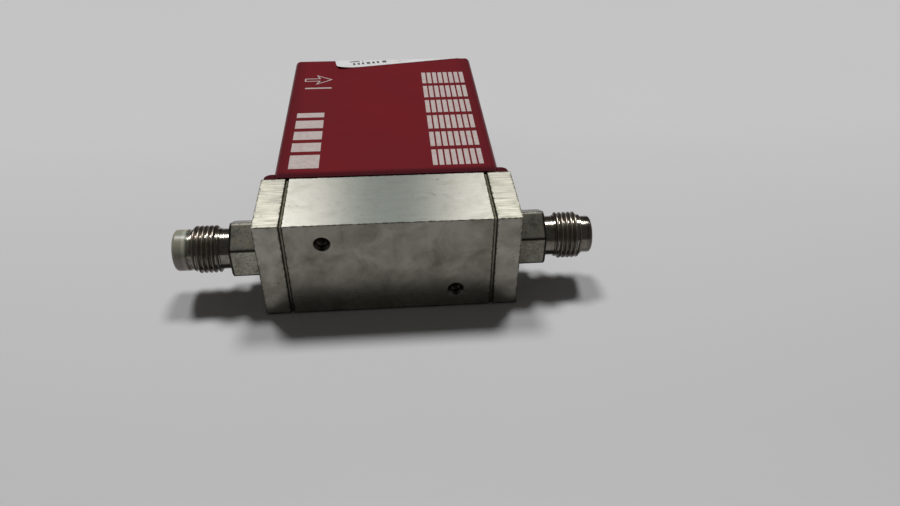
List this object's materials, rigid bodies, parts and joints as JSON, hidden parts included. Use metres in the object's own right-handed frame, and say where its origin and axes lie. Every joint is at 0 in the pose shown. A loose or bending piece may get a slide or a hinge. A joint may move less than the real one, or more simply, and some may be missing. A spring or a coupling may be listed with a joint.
{
  "type": "mass flow controller",
  "caption": "Thermal mass flow controller: steel block base with end plates, male face-seal end fittings, a push-on cap on the inlet and a tall crimson cover.",
  "frame": {"origin": "centre of the base's mounting face, on the middle plane of its thickness", "axes": "+X along the gas flow from inlet to outlet, +Y from the mounting face to the connector end of the cover, +Z the outward normal of the marked side; the part lies on its plain side, as in the picture"},
  "size_m": [0.126, 0.1181, 0.0332],
  "materials": {
    "block_steel": "satin machined stainless steel",
    "fitting_steel": "turned stainless steel with stains",
    "plate_steel": "dull stainless sheet",
    "screw_steel": "stainless screws",
    "seal_rubber": "fluorocarbon rubber",
    "cap_plastic": "milky polyethylene",
    "sintered_metal": "sintered stainless filter",
    "winding_enamel": "enamelled winding",
    "case_aluminium": "plain milled aluminium",
    "actuator_ceramic": "piezo ceramic",
    "red_anodised": "satin crimson finish",
    "frame_steel": "zinc plated sheet steel",
    "board_laminate": "green glass-epoxy board",
    "chip_plastic": "moulded black packages",
    "capacitor_sleeve": "dark capacitor sleeves",
    "trimmer_plastic": "blue trimmer bodies",
    "header_plastic": "black header",
    "shell_tin": "tin plated connector shell",
    "insulator_plastic": "black glass-filled insulator",
    "pin_gold": "gold flashed pins",
    "label_film": "white paper label, bare"
  },
  "bodies": {
    "root": {"body_block": "block_steel", "inlet_block": "block_steel", "outlet_block": "block_steel", "inlet_seal_plate": "plate_steel", "outlet_seal_plate": "plate_steel", "inlet_seal_ring": "seal_rubber", "outlet_seal_ring": "seal_rubber", "inlet_block_screws": "screw_steel", "outlet_block_screws": "screw_steel", "inlet_fitting": "fitting_steel", "outlet_fitting": "fitting_steel", "inlet_cap": "cap_plastic", "inlet_filter": "sintered_metal", "bypass_sleeve": "fitting_steel", "bypass_core": "fitting_steel", "sensor_base": "block_steel", "sensor_seals": "seal_rubber", "sensor_capillary": "fitting_steel", "sensor_windings": "winding_enamel", "sensor_case": "case_aluminium", "sensor_screws": "screw_steel", "valve_seat": "fitting_steel", "valve_spacer": "fitting_steel", "valve_diaphragm": "plate_steel", "valve_case": "block_steel", "valve_plunger": "fitting_steel", "actuator_stack": "actuator_ceramic", "valve_cap": "fitting_steel", "valve_lock_screw": "screw_steel", "valve_screws": "screw_steel", "cover": "red_anodised", "cover_screws": "screw_steel", "inner_frame": "frame_steel", "frame_screws": "screw_steel", "main_board": "board_laminate", "board_screws": "screw_steel", "connector_board": "board_laminate", "board_header": "header_plastic", "board_chips": "chip_plastic", "board_capacitors": "capacitor_sleeve", "board_trimmers": "trimmer_plastic", "connector_shell": "shell_tin", "connector_insulator": "insulator_plastic", "connector_pins": "pin_gold", "jackscrews": "screw_steel", "jackscrew_nuts": "screw_steel", "label": "label_film"}
  },
  "joints": []
}
